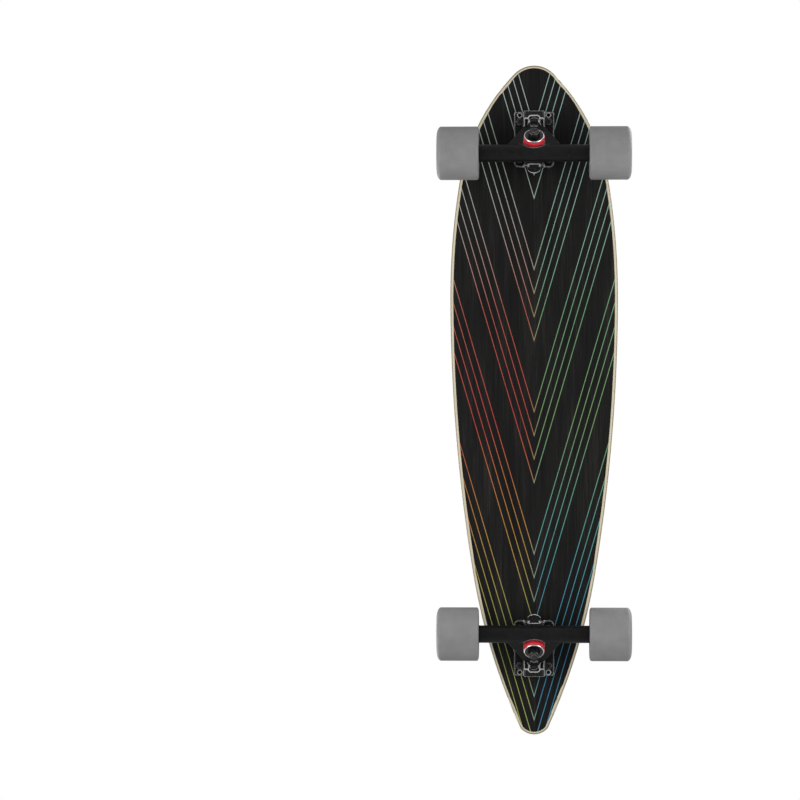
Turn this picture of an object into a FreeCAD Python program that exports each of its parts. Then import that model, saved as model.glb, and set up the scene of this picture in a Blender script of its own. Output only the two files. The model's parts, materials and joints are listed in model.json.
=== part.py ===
"""Longboard skateboard: a pintail deck on two reverse-kingpin trucks with four soft wheels.

Millimetres. Y runs along the board with the nose at -Y, X across it with the left side at +X, Z up.
The origin is on the ground, under the middle of the deck.
"""

import FreeCAD
import Part
import math
import os

# Deck outline, a chain of tangent arcs from the nose round to the tail. A flank's angle is measured from
# the board's length, and its balance is how much longer the first of its two arcs is than the second.
DECK_LENGTH = 965.0
DECK_WIDTH = 242.0
WIDEST_FROM_MIDDLE = 150.0
NOSE_TIP_RADIUS = 40.0
NOSE_FLANK_ANGLE = 44.1
NOSE_FLANK_BALANCE = 1.15
TAIL_FLANK_ANGLE = 24.5
TAIL_FLANK_BALANCE = 1.7
TAIL_CORNER_RADIUS = 7.0
TAIL_END_RADIUS = 26.0
TAIL_END_WIDTH = 42.0

# Deck section: a flat middle strip between rails that curve up.
DECK_THICKNESS = 11.5
FLAT_STRIP_WIDTH = 116.0
CONCAVE_RADIUS = 420.0
EDGE_ROUNDOVER = 5.1
EDGE_ROUNDOVER_MOST = 0.45
VENEER_THICKNESS = 1.2
GRIP_THICKNESS = 1.0
GRIP_MARGIN = 0.8

# Where the trucks stand, from each axle to its end of the deck, and how they are bolted on.
NOSE_OVERHANG = 131.5
TAIL_OVERHANG = 149.5
TRUCK_HEIGHT = 68.0
BOLT_SPACING_ACROSS = 41.3
BOLT_SPACING_ALONG = 54.0
BOLT_SPACING_ALONG_LONG = 63.5
BOLT_RADIUS = 2.4
BOLT_HOLE_CLEARANCE = 0.3
BOLT_HEAD_RADIUS = 4.7
BOLT_HEAD_DEPTH = 2.7
BOLT_HEAD_RECESS = 0.2
BOLT_SOCKET_ACROSS_FLATS = 3.0
BOLT_SOCKET_DEPTH = 1.6
BOLT_STICKS_OUT = 2.5
BOLT_NUT_ACROSS_FLATS = 9.5
BOLT_NUT_HEIGHT = 5.5

# Steering geometry, seen from the side with the axle as centre.
STEER_ANGLE = 45.0
KINGPIN_FROM_AXLE = 19.5
PIVOT_FROM_AXLE = 67.0

# Bushing stack on the kingpin.
BUSHING_RADIUS = 14.6
BUSHING_BORE_CLEARANCE = 0.15
BUSHING_LIP_RADIUS = 1.0
BOARDSIDE_BUSHING_HEIGHT = 14.0
BOARDSIDE_WASHER_END_RADIUS = 14.0
BOARDSIDE_WAIST_RADIUS = 13.2
ROADSIDE_BUSHING_HEIGHT = 12.0
ROADSIDE_BULGE_RADIUS = 16.8
ROADSIDE_BULGE_ROUND = 5.0
ROADSIDE_BULGE_SHARE = 0.4
ROADSIDE_WASHER_END_RADIUS = 12.8
BUSHING_SEAT_GAP = 0.1
CUP_WASHER_THICKNESS = 1.5
CUP_WASHER_LIP = 2.2
CUP_WASHER_LIP_ROUND = 0.5
CUP_WASHER_CLEARANCE = 0.2
KINGPIN_RADIUS = 4.7
KINGPIN_CLEARANCE = 0.2
KINGPIN_GRIP = 20.0
KINGPIN_HEAD_RADIUS = 7.0
KINGPIN_HEAD_HEIGHT = 6.0
KINGPIN_SOCKET_ACROSS_FLATS = 7.0
KINGPIN_SOCKET_DEPTH = 3.0
KINGPIN_STICKS_OUT = 1.5
KINGPIN_NUT_ACROSS_FLATS = 14.3
KINGPIN_NUT_HEIGHT = 8.0

# Hanger casting.
HANGER_WIDTH = 191.0
HANGER_BAR_RADIUS = 12.4
HANGER_END_RADIUS = 8.5
HANGER_TAPER_LENGTH = 10.0
HANGER_TAPER_ROUND = 6.0
HANGER_END_ROUND = 1.0
YOKE_HALF_THICKNESS = 4.5
YOKE_ROOT_HALF_THICKNESS = 10.0
YOKE_FOOT_HALF_WIDTH = 41.0
YOKE_NECK_HALF_WIDTH = 15.5
YOKE_FOOT_FROM_AXLE = 9.0
YOKE_SWELL_LENGTH = 16.0
YOKE_SWELL_ROUND = 10.0
YOKE_SHOULDER_LENGTH = 6.0
YOKE_TIP_CLEARANCE = 1.0
YOKE_FOOT_FILLET = 18.0
YOKE_NECK_FILLET = 6.0
YOKE_EDGE_RADIUS = 1.6
BUSHING_SEAT_DEPTH = 1.5
BUSHING_SEAT_CLEARANCE = 0.3
BUSHING_SCOOP_CLEARANCE = 1.2
ROADSIDE_DISH_RADIUS = 21.5
ROADSIDE_DISH_RISE = 0.5
RING_HOLE_RADIUS = 7.4
PIVOT_NOSE_RADIUS = 7.0
PIVOT_CUP_WALL = 2.0
PIVOT_CUP_CLEARANCE = 0.1
PIVOT_CUP_MOUTH = 7.0

# Baseplate casting. Its bolt holes follow the two standard patterns, which share the inboard row.
BASE_END_FROM_AXLE = 64.0
BASE_OUTBOARD_MARGIN = 5.0
BASE_INBOARD_MARGIN = 11.5
BASE_WIDTH = 58.0
BASE_THICKNESS = 7.0
BASE_INBOARD_CORNER_RADIUS = 7.0
BASE_OUTBOARD_CORNER_RADIUS = 3.0
BASE_EDGE_RADIUS = 1.2
TOWER_WIDTH = 29.0
TOWER_EDGE_RADIUS = 2.0
TOWER_FOOT_LENGTH = 3.5
GUSSET_LENGTH = 16.0
SEAT_RIM = 1.0
HOUSING_WALL = 5.0
PIVOT_NOTCH_WIDTH = 15.0
PIVOT_NOTCH_DEPTH = 6.0
PIVOT_NOTCH_ROUND = 4.0
RIB_THICKNESS = 6.5
BOSS_WALL = 2.5
BOSS_BACK = 2.0
TOWER_POCKET_FROM_KINGPIN = 6.0

# Axle and what holds the wheels on it.
AXLE_RADIUS = 3.97
AXLE_STICKS_OUT = 1.0
AXLE_END_CHAMFER = 0.8
SPEED_WASHER_RADIUS = 6.5
SPEED_WASHER_THICKNESS = 1.0
AXLE_NUT_ACROSS_FLATS = 12.7
AXLE_NUT_HEIGHT = 8.0
AXLE_BORE_CLEARANCE = 0.03

# Wheel.
WHEEL_RADIUS = 38.0
WHEEL_WIDTH = 60.0
WHEEL_OUTER_LIP_RADIUS = 8.0
WHEEL_INNER_LIP_RADIUS = 3.0
WHEEL_FACE_INNER_RADIUS = 25.0
WHEEL_FACE_DISH = 1.2
WHEEL_FACE_LAND = 0.4
WHEEL_FACE_ROUND = 1.0
CORE_RADIUS = 19.0
CORE_WIDTH = 30.0
CORE_RIDGE_HEIGHT = 1.5
CORE_RIDGE_WIDTH = 4.0
CORE_WEB_BORE_RADIUS = 9.0
CORE_MOUTH_RADIUS = 12.2

# Ball bearing, two in each wheel.
BEARING_RADIUS = 11.0
BEARING_BORE_RADIUS = 4.0
BEARING_WIDTH = 7.0
BEARING_SPACING = 10.0
INNER_RACE_RADIUS = 6.1
OUTER_RACE_INNER_RADIUS = 9.0
BALL_RADIUS = 1.98
BALL_CLEARANCE = 0.1
BALL_COUNT = 7
CAGE_THICKNESS = 1.2
CAGE_RIM = 0.65
CAGE_TEETH = 0.8
SHIELD_THICKNESS = 0.35
SHIELD_CLEARANCE = 0.25
PRESS_CLEARANCE = 0.02
SPACER_RADIUS = 5.8
SPACER_CLEARANCE = 0.1

# Values worked out from those above.
FRONT_AXLE_Y = NOSE_OVERHANG - DECK_LENGTH / 2.0
REAR_AXLE_Y = DECK_LENGTH / 2.0 - TAIL_OVERHANG
AXLE_Z = WHEEL_RADIUS
DECK_BOTTOM_Z = AXLE_Z + TRUCK_HEIGHT
GRIP_TOP = DECK_THICKNESS + GRIP_THICKNESS
BASE_UNDERSIDE = TRUCK_HEIGHT - BASE_THICKNESS
TOWER_HALF = TOWER_WIDTH / 2.0
TOWER_SEAT_HALF = BOARDSIDE_WASHER_END_RADIUS + SEAT_RIM
TOWER_FACE = KINGPIN_FROM_AXLE + TOWER_SEAT_HALF
KINGPIN_HOLE_RADIUS = KINGPIN_RADIUS + KINGPIN_CLEARANCE
BUSHING_SEAT = YOKE_HALF_THICKNESS - BUSHING_SEAT_DEPTH
BOARDSIDE_START = BUSHING_SEAT + BUSHING_SEAT_GAP
BOARDSIDE_END = BOARDSIDE_START + BOARDSIDE_BUSHING_HEIGHT
TOWER_SEAT = BOARDSIDE_END + CUP_WASHER_THICKNESS
HEAD_SEAT = TOWER_SEAT + KINGPIN_GRIP
BOSS_RADIUS = KINGPIN_HEAD_RADIUS + BOSS_WALL
BOSS_END = HEAD_SEAT + KINGPIN_HEAD_HEIGHT + BOSS_BACK
ROADSIDE_DISH_START = YOKE_HALF_THICKNESS + ROADSIDE_DISH_RISE
ROADSIDE_START = BUSHING_SEAT + BUSHING_SEAT_GAP
ROADSIDE_END = ROADSIDE_START + ROADSIDE_BUSHING_HEIGHT
ROADSIDE_WASHER_END = ROADSIDE_END + CUP_WASHER_THICKNESS
KINGPIN_NUT_END = ROADSIDE_WASHER_END + KINGPIN_NUT_HEIGHT
PIVOT_CUP_BORE = PIVOT_NOSE_RADIUS + PIVOT_CUP_CLEARANCE
PIVOT_CUP_RADIUS = PIVOT_CUP_BORE + PIVOT_CUP_WALL
HOUSING_MOUTH = PIVOT_FROM_AXLE - PIVOT_CUP_MOUTH
HOUSING_HALF = PIVOT_CUP_RADIUS + HOUSING_WALL
YOKE_TIP = HOUSING_MOUTH - YOKE_TIP_CLEARANCE
YOKE_NECK = YOKE_TIP - YOKE_SHOULDER_LENGTH
HANGER_HALF = HANGER_WIDTH / 2.0
BEARING_INNER_FACE = HANGER_HALF + SPEED_WASHER_THICKNESS
WHEEL_CENTRE = BEARING_INNER_FACE + BEARING_WIDTH + BEARING_SPACING / 2.0
BEARING_OUTER_FACE = BEARING_INNER_FACE + 2.0 * BEARING_WIDTH + BEARING_SPACING
AXLE_NUT_START = BEARING_OUTER_FACE + SPEED_WASHER_THICKNESS
AXLE_HALF = AXLE_NUT_START + AXLE_NUT_HEIGHT + AXLE_STICKS_OUT
BALL_PITCH_RADIUS = (INNER_RACE_RADIUS + OUTER_RACE_INNER_RADIUS) / 2.0
GROOVE_RADIUS = BALL_RADIUS + BALL_CLEARANCE
BEARING_OFFSET = (BEARING_SPACING + BEARING_WIDTH) / 2.0
BOLT_HOLE_RADIUS = BOLT_RADIUS + BOLT_HOLE_CLEARANCE
FIRST_BOLT_ROW = BASE_END_FROM_AXLE - BASE_OUTBOARD_MARGIN - BOLT_SPACING_ALONG_LONG
STEER_COS = math.cos(math.radians(STEER_ANGLE))
STEER_SIN = math.sin(math.radians(STEER_ANGLE))
TOWER_FOOT = (TOWER_FACE - BASE_UNDERSIDE * STEER_SIN) / STEER_COS
BASE_START_FROM_AXLE = min(FIRST_BOLT_ROW - BASE_INBOARD_MARGIN, TOWER_FOOT - TOWER_FOOT_LENGTH)
BOLT_HEAD_TOP = DECK_BOTTOM_Z + GRIP_TOP - BOLT_HEAD_RECESS

# Helpers: how far cutters run past what they cut, and how directions and lengths are compared.
MARGIN = 20.0
OVERLAP = 1.0
TINY = 1e-6
LEVEL = 0.01
SLOPING = 0.1
STEEP = 0.5
PARALLEL = 1.0 - LEVEL
HEX_LAND_SHARE = 0.96
X_AXIS = FreeCAD.Vector(1, 0, 0)
Y_AXIS = FreeCAD.Vector(0, 1, 0)
Z_AXIS = FreeCAD.Vector(0, 0, 1)
ORIGIN = FreeCAD.Vector(0, 0, 0)


def vec(x, y, z=0.0):
    return FreeCAD.Vector(x, y, z)


def moved(shape, x=0.0, y=0.0, z=0.0):
    copy = shape.copy()
    copy.translate(vec(x, y, z))
    return copy


def turned(shape, axis, degrees):
    copy = shape.copy()
    copy.rotate(ORIGIN, axis, degrees)
    return copy


def cylinder_z(radius, low, high, x=0.0, y=0.0):
    return Part.makeCylinder(radius, high - low, vec(x, y, low), Z_AXIS)


def cylinder_x(radius, low, high):
    return Part.makeCylinder(radius, high - low, vec(low, 0), X_AXIS)


def tube_x(outer, inner, low, high):
    return cylinder_x(outer, low, high).cut(cylinder_x(inner, low - OVERLAP, high + OVERLAP))


def box(x0, x1, y0, y1, z0, z1):
    return Part.makeBox(x1 - x0, y1 - y0, z1 - z0, vec(x0, y0, z0))


def hexagon_bar(across_flats, height):
    """Hexagonal bar standing on the XY plane."""
    corner_radius = across_flats / math.sqrt(3.0)
    angles = [math.radians(60.0 * i) for i in range(7)]
    corners = [vec(corner_radius * math.cos(angle), corner_radius * math.sin(angle)) for angle in angles]
    return Part.Face(Part.makePolygon(corners)).extrude(vec(0, 0, height))


def hex_nut(across_flats, height, bore_radius):
    """Nut standing on the XY plane, its upper corners chamfered by a cone."""
    land = HEX_LAND_SHARE * across_flats / 2.0
    body = hexagon_bar(across_flats, height).common(Part.makeCone(land + height, land, height))
    return body.cut(cylinder_z(bore_radius, -OVERLAP, height + OVERLAP))


def hex_socket(across_flats, depth):
    """Cutter for a key socket sunk from z = 0."""
    return moved(hexagon_bar(across_flats, depth + OVERLAP), z=-depth)


def rounded_wire(corners, to_point):
    """Closed wire through corners (a, b, radius), each rounded by an arc tangent to its two sides."""
    count = len(corners)
    edges = []
    ends = []
    for i in range(count):
        a, b, radius = corners[i]
        here = vec(a, b)
        before = vec(*corners[i - 1][:2]).sub(here).normalize()
        after = vec(*corners[(i + 1) % count][:2]).sub(here).normalize()
        if radius == 0.0:
            ends.append((here, None, here))
            continue
        half = before.getAngle(after) / 2.0
        reach = radius / math.tan(half)
        middle = before.add(after).normalize()
        bulge = here.add(middle * (radius / math.sin(half) - radius))
        ends.append((here.add(before * reach), bulge, here.add(after * reach)))
    for i in range(count):
        start, bulge, finish = ends[i]
        following = ends[(i + 1) % count][0]
        if bulge is not None:
            points = [to_point(point.x, point.y) for point in (start, bulge, finish)]
            edges.append(Part.Arc(*points).toShape())
        if finish.distanceToPoint(following) > TINY:
            edges.append(Part.makeLine(to_point(finish.x, finish.y), to_point(following.x, following.y)))
    return Part.Wire(edges)


def plan_prism(corners, low, high):
    """Prism with its outline in X and Y, between two heights."""
    wire = rounded_wire(corners, lambda a, b: vec(a, b, low))
    return Part.Face(wire).extrude(vec(0, 0, high - low))


def side_prism(corners, half_width):
    """Prism with its outline in Y and Z, as wide as half_width on each side of the middle."""
    wire = rounded_wire(corners, lambda a, b: vec(-half_width, a, b))
    return Part.Face(wire).extrude(vec(2.0 * half_width, 0, 0))


def revolved_x(corners):
    """Solid of revolution about X, from corners (x, radius, rounding)."""
    wire = rounded_wire(corners, lambda a, b: vec(a, 0, b))
    return Part.Face(wire).revolve(ORIGIN, X_AXIS, 360)


def revolved_z(corners):
    """Solid of revolution about Z, from corners (radius, z, rounding)."""
    wire = rounded_wire(corners, lambda a, b: vec(a, 0, b))
    return Part.Face(wire).revolve(ORIGIN, Z_AXIS, 360)


def tangent_circle(point, way, other):
    """Centre and radius of the circle that runs along way at point, turns left and passes through other."""
    inward = vec(-way.y, way.x)
    chord = other.sub(point)
    radius = chord.dot(chord) / (2.0 * chord.dot(inward))
    return point.add(inward * radius), radius


def flank_arcs(start, start_way, finish, finish_way, balance):
    """Two tangent arcs that leave start along start_way and arrive at finish along finish_way."""
    chord = finish.sub(start)
    square = 2.0 * balance * (start_way.dot(finish_way) - 1.0)
    linear = -2.0 * chord.dot(start_way * balance + finish_way)
    reach = (-linear - math.sqrt(linear**2 - 4.0 * square * chord.dot(chord))) / (2.0 * square)
    first_corner = start.add(start_way * (balance * reach))
    second_corner = finish.sub(finish_way * reach)
    join = (first_corner + second_corner * balance) * (1.0 / (1.0 + balance))
    return [tangent_circle(start, start_way, join), tangent_circle(finish, finish_way, join)]


def outline_arcs():
    """Centres and radii of the arcs on the +X side, from nose to tail."""
    half_length = DECK_LENGTH / 2.0
    widest = vec(DECK_WIDTH / 2.0, -WIDEST_FROM_MIDDLE)
    nose_tip = vec(0, -half_length + NOSE_TIP_RADIUS)
    angle = math.radians(NOSE_FLANK_ANGLE)
    nose_start = nose_tip.add(vec(math.cos(angle), -math.sin(angle)) * NOSE_TIP_RADIUS)
    nose_way = vec(math.sin(angle), math.cos(angle))
    tail_end = vec(0, half_length - TAIL_END_RADIUS)
    corner_x = TAIL_END_WIDTH / 2.0 - TAIL_CORNER_RADIUS
    corner_reach = TAIL_END_RADIUS - TAIL_CORNER_RADIUS
    corner = tail_end.add(vec(corner_x, math.sqrt(corner_reach**2 - corner_x**2)))
    angle = math.radians(TAIL_FLANK_ANGLE)
    tail_finish = corner.add(vec(math.cos(angle), math.sin(angle)) * TAIL_CORNER_RADIUS)
    tail_way = vec(-math.sin(angle), math.cos(angle))
    arcs = [(nose_tip, NOSE_TIP_RADIUS)]
    arcs += flank_arcs(nose_start, nose_way, widest, Y_AXIS, NOSE_FLANK_BALANCE)
    arcs += flank_arcs(widest, Y_AXIS, tail_finish, tail_way, TAIL_FLANK_BALANCE)
    arcs += [(corner, TAIL_CORNER_RADIUS), (tail_end, TAIL_END_RADIUS)]
    return arcs


def deck_outline(inset, z):
    """Closed wire of the deck's outline at height z, drawn in by inset."""
    arcs = outline_arcs()
    half_length = DECK_LENGTH / 2.0 - inset
    joins = [vec(0, -half_length)]
    for (centre_a, radius_a), (centre_b, radius_b) in zip(arcs, arcs[1:]):
        if radius_a > radius_b:
            way = centre_b.sub(centre_a).normalize()
        else:
            way = centre_a.sub(centre_b).normalize()
        joins.append(centre_a.add(way * (radius_a - inset)))
    joins.append(vec(0, half_length))
    edges = []
    for side in (1.0, -1.0):
        for (centre, radius), start, finish in zip(arcs, joins, joins[1:]):
            towards = start.sub(centre).normalize().add(finish.sub(centre).normalize()).normalize()
            bulge = centre.add(towards * (radius - inset))
            points = [vec(side * point.x, point.y, z) for point in (start, bulge, finish)]
            edges.append(Part.Arc(*points).toShape())
    return Part.Wire(Part.__sortEdges__(edges))


def outline_prism(inset):
    low = DECK_BOTTOM_Z - MARGIN
    height = 4.0 * MARGIN + DECK_THICKNESS
    return Part.Face(deck_outline(inset, low)).extrude(vec(0, 0, height))


def deck_slab(low, high):
    """Slab between two depths measured up from the underside: a flat strip with rails that curve up."""
    flat = FLAT_STRIP_WIDTH / 2.0
    reach = math.asin((DECK_WIDTH / 2.0 + MARGIN - flat) / (CONCAVE_RADIUS - high))
    centre_z = DECK_BOTTOM_Z + CONCAVE_RADIUS
    start_y = -DECK_LENGTH / 2.0 - MARGIN

    def rail(side, depth, share):
        radius = CONCAVE_RADIUS - depth
        angle = reach * share
        return vec(side * (flat + radius * math.sin(angle)), start_y, centre_z - radius * math.cos(angle))

    def rail_arc(side, depth):
        return Part.Arc(rail(side, depth, 0.0), rail(side, depth, 0.5), rail(side, depth, 1.0)).toShape()

    edges = [
        rail_arc(-1.0, low),
        Part.makeLine(rail(-1.0, low, 0.0), rail(1.0, low, 0.0)),
        rail_arc(1.0, low),
        Part.makeLine(rail(1.0, low, 1.0), rail(1.0, high, 1.0)),
        rail_arc(1.0, high),
        Part.makeLine(rail(1.0, high, 0.0), rail(-1.0, high, 0.0)),
        rail_arc(-1.0, high),
        Part.makeLine(rail(-1.0, high, 1.0), rail(-1.0, low, 1.0)),
    ]
    section = Part.Wire(Part.__sortEdges__(edges))
    return Part.Face(section).extrude(vec(0, DECK_LENGTH + 2.0 * MARGIN, 0))


def rim_edges(solid):
    """Edges where the upright wall of the deck meets its top and underside."""
    found = []
    for face in solid.Faces:
        u0, u1, v0, v1 = face.ParameterRange
        if abs(face.normalAt((u0 + u1) / 2.0, (v0 + v1) / 2.0).z) > LEVEL:
            continue
        for edge in face.Edges:
            middle = (edge.FirstParameter + edge.LastParameter) / 2.0
            if abs(edge.tangentAt(middle).z) < STEEP:
                found.append(edge)
    return found


def bolt_places():
    """Centres of the truck bolts, four under each truck."""
    rows = [FIRST_BOLT_ROW, FIRST_BOLT_ROW + BOLT_SPACING_ALONG]
    places = []
    for outward, axle_y in ((-1.0, FRONT_AXLE_Y), (1.0, REAR_AXLE_Y)):
        for row in rows:
            for side in (-1.0, 1.0):
                places.append((side * BOLT_SPACING_ACROSS / 2.0, axle_y + outward * row))
    return places


def bolt_head(grow):
    """Flat countersunk head, its top at z = 0, grown sideways by grow for its seat."""
    corners = [
        (0.0, 0.0, 0.0),
        (BOLT_HEAD_RADIUS + grow, 0.0, 0.0),
        (BOLT_RADIUS + grow, -BOLT_HEAD_DEPTH, 0.0),
        (0.0, -BOLT_HEAD_DEPTH, 0.0),
    ]
    return revolved_z(corners)


def make_deck():
    """The pressed deck, its stained bottom veneer and the grip tape, all drilled for the bolts."""
    blank = deck_slab(0.0, DECK_THICKNESS).common(outline_prism(0.0))
    roundover = min(EDGE_ROUNDOVER, EDGE_ROUNDOVER_MOST * DECK_THICKNESS)
    blank = blank.makeFillet(roundover, rim_edges(blank))
    veneer_slab = deck_slab(-OVERLAP, VENEER_THICKNESS)
    grip = deck_slab(DECK_THICKNESS, GRIP_TOP).common(outline_prism(roundover + GRIP_MARGIN))
    head_seat = bolt_head(BOLT_HOLE_CLEARANCE)
    head_seat = head_seat.fuse(cylinder_z(BOLT_HEAD_RADIUS + BOLT_HOLE_CLEARANCE, 0.0, MARGIN))
    drills = []
    for x, y in bolt_places():
        drills.append(moved(head_seat, x, y, BOLT_HEAD_TOP))
        drills.append(cylinder_z(BOLT_HOLE_RADIUS, DECK_BOTTOM_Z - MARGIN, BOLT_HEAD_TOP, x, y))
    drill = Part.makeCompound(drills)
    core = blank.cut(veneer_slab).cut(drill)
    veneer = blank.common(veneer_slab).cut(drill)
    return {"deck_core": core, "deck_bottom_veneer": veneer, "grip_tape": grip.cut(drill)}


def make_deck_bolts():
    """Countersunk bolts from the grip down through the baseplates, with their lock nuts."""
    nut_top = DECK_BOTTOM_Z - BASE_THICKNESS
    tip = nut_top - BOLT_NUT_HEIGHT - BOLT_STICKS_OUT
    shank = cylinder_z(BOLT_RADIUS, tip, BOLT_HEAD_TOP - BOLT_HEAD_DEPTH / 2.0)
    socket = moved(hex_socket(BOLT_SOCKET_ACROSS_FLATS, BOLT_SOCKET_DEPTH), z=BOLT_HEAD_TOP)
    bolt = moved(bolt_head(0.0), z=BOLT_HEAD_TOP).fuse(shank).cut(socket)
    nut = turned_over(hex_nut(BOLT_NUT_ACROSS_FLATS, BOLT_NUT_HEIGHT, BOLT_RADIUS + PRESS_CLEARANCE))
    places = bolt_places()
    bolts = [moved(bolt, x, y) for x, y in places]
    nuts = [moved(nut, x, y, nut_top) for x, y in places]
    return {"deck_bolts": Part.makeCompound(bolts), "deck_bolt_nuts": Part.makeCompound(nuts)}


def on_steering(shape):
    """From the steering frame, Y along the steering axis and Z up the kingpin, to the truck's frame."""
    return turned(shape, X_AXIS, STEER_ANGLE)


def mirrored_across(half):
    """Corners of an outline that is mirrored across the truck's middle, from its +X corners."""
    return half + [(-a, b, radius) for a, b, radius in reversed(half)]


def yoke_edges(yoke):
    """Edges that run round the yoke's outline, past the foot that sinks into the bar."""
    found = []
    for edge in yoke.Edges:
        halfway = (edge.FirstParameter + edge.LastParameter) / 2.0
        middle = edge.valueAt(halfway)
        on_outline = abs(middle.x) > PIVOT_NOSE_RADIUS + YOKE_EDGE_RADIUS
        past_foot = middle.y > YOKE_FOOT_FROM_AXLE + YOKE_EDGE_RADIUS
        if on_outline and past_foot and abs(edge.tangentAt(halfway).y) > SLOPING:
            found.append(edge)
    return found


def make_hanger():
    """Hanger casting in the steering frame: bar, delta yoke with bushing seats, and pivot nose."""
    straight = HANGER_HALF - HANGER_TAPER_LENGTH
    bar = revolved_x(
        [
            (-HANGER_HALF, 0.0, 0.0),
            (-HANGER_HALF, HANGER_END_RADIUS, HANGER_END_ROUND),
            (-straight, HANGER_BAR_RADIUS, HANGER_TAPER_ROUND),
            (straight, HANGER_BAR_RADIUS, HANGER_TAPER_ROUND),
            (HANGER_HALF, HANGER_END_RADIUS, HANGER_END_ROUND),
            (HANGER_HALF, 0.0, 0.0),
        ]
    )
    outer = YOKE_FOOT_HALF_WIDTH + YOKE_FOOT_FILLET
    plan = mirrored_across(
        [
            (outer, 0.0, 0.0),
            (outer, YOKE_FOOT_FROM_AXLE, 0.0),
            (YOKE_FOOT_HALF_WIDTH, YOKE_FOOT_FROM_AXLE, YOKE_FOOT_FILLET),
            (YOKE_NECK_HALF_WIDTH, YOKE_NECK, YOKE_NECK_FILLET),
            (PIVOT_NOSE_RADIUS, YOKE_TIP, 0.0),
        ]
    )
    root = YOKE_ROOT_HALF_THICKNESS
    thin = YOKE_HALF_THICKNESS
    side = [
        (0.0, -root, 0.0),
        (YOKE_SWELL_LENGTH, -thin, YOKE_SWELL_ROUND),
        (YOKE_TIP, -thin, 0.0),
        (YOKE_TIP, thin, 0.0),
        (YOKE_SWELL_LENGTH, thin, YOKE_SWELL_ROUND),
        (0.0, root, 0.0),
    ]
    yoke = plan_prism(plan, -2.0 * root, 2.0 * root).common(side_prism(side, outer))
    yoke = yoke.makeFillet(YOKE_EDGE_RADIUS, yoke_edges(yoke))
    nose_length = PIVOT_FROM_AXLE - YOKE_NECK
    nose = Part.makeCylinder(PIVOT_NOSE_RADIUS, nose_length, vec(0, PIVOT_FROM_AXLE), -Y_AXIS)
    ball = Part.makeSphere(PIVOT_NOSE_RADIUS, vec(0, PIVOT_FROM_AXLE))
    casting = bar.fuse([yoke, nose, ball]).removeSplitter()
    cuts = [cylinder_z(RING_HOLE_RADIUS, -MARGIN, MARGIN, 0.0, KINGPIN_FROM_AXLE)]
    seat = BUSHING_RADIUS + BUSHING_SEAT_CLEARANCE
    scoop = BUSHING_RADIUS + BUSHING_SCOOP_CLEARANCE
    for radius, start in ((seat, BUSHING_SEAT), (scoop, YOKE_HALF_THICKNESS)):
        boardside = cylinder_z(radius, start, start + MARGIN, 0.0, KINGPIN_FROM_AXLE)
        cuts.append(boardside)
        cuts.append(turned_over(boardside))
    dish_end = ROADSIDE_DISH_START + MARGIN
    dish = cylinder_z(ROADSIDE_DISH_RADIUS, ROADSIDE_DISH_START, dish_end, 0.0, KINGPIN_FROM_AXLE)
    cuts.append(turned_over(dish))
    bore_half = HANGER_HALF + OVERLAP
    cuts.append(cylinder_x(AXLE_RADIUS + AXLE_BORE_CLEARANCE, -bore_half, bore_half))
    return casting.cut(cuts)


def turned_over(shape):
    """The same shape on the other side of the yoke."""
    return shape.mirror(ORIGIN, Z_AXIS)


def make_pivot_cup():
    """Soft cup that the hanger's pivot nose turns in."""
    bore = Part.makeSphere(PIVOT_CUP_BORE, vec(0, PIVOT_FROM_AXLE))
    bore = bore.fuse(Part.makeCylinder(PIVOT_CUP_BORE, MARGIN, vec(0, PIVOT_FROM_AXLE), -Y_AXIS))
    body = Part.makeSphere(PIVOT_CUP_RADIUS, vec(0, PIVOT_FROM_AXLE))
    body = body.fuse(Part.makeCylinder(PIVOT_CUP_RADIUS, PIVOT_CUP_MOUTH, vec(0, PIVOT_FROM_AXLE), -Y_AXIS))
    return body.cut(bore)


def pivot_cup_pocket():
    """Room for the pivot cup in the baseplate's housing, open at the mouth."""
    radius = PIVOT_CUP_RADIUS + PRESS_CLEARANCE
    pocket = Part.makeSphere(radius, vec(0, PIVOT_FROM_AXLE))
    return pocket.fuse(Part.makeCylinder(radius, MARGIN, vec(0, PIVOT_FROM_AXLE), -Y_AXIS))


def pivot_notch():
    """Cutter for the round-cornered notch in the housing's roadside wall, where the pivot nose goes in."""
    half = PIVOT_NOTCH_WIDTH / 2.0
    plan = mirrored_across(
        [(half, HOUSING_MOUTH - OVERLAP, 0.0), (half, HOUSING_MOUTH + PIVOT_NOTCH_DEPTH, PIVOT_NOTCH_ROUND)]
    )
    return plan_prism(plan, -HOUSING_HALF - OVERLAP, -PIVOT_NOSE_RADIUS)


def tower_gusset():
    """Web that braces the leaning tower against the plate, in the truck's frame."""
    reach = GUSSET_LENGTH * STEER_COS
    sunk = TOWER_FOOT - OVERLAP
    outline = [
        (sunk, BASE_UNDERSIDE + OVERLAP, 0.0),
        (sunk + reach * STEER_SIN, BASE_UNDERSIDE - reach * STEER_COS, 0.0),
        (TOWER_FOOT + reach * STEER_SIN, BASE_UNDERSIDE - reach * STEER_COS, 0.0),
        (TOWER_FOOT + GUSSET_LENGTH, BASE_UNDERSIDE, 0.0),
        (TOWER_FOOT + GUSSET_LENGTH, BASE_UNDERSIDE + OVERLAP, 0.0),
    ]
    return side_prism(outline, TOWER_HALF - TOWER_EDGE_RADIUS)


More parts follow.
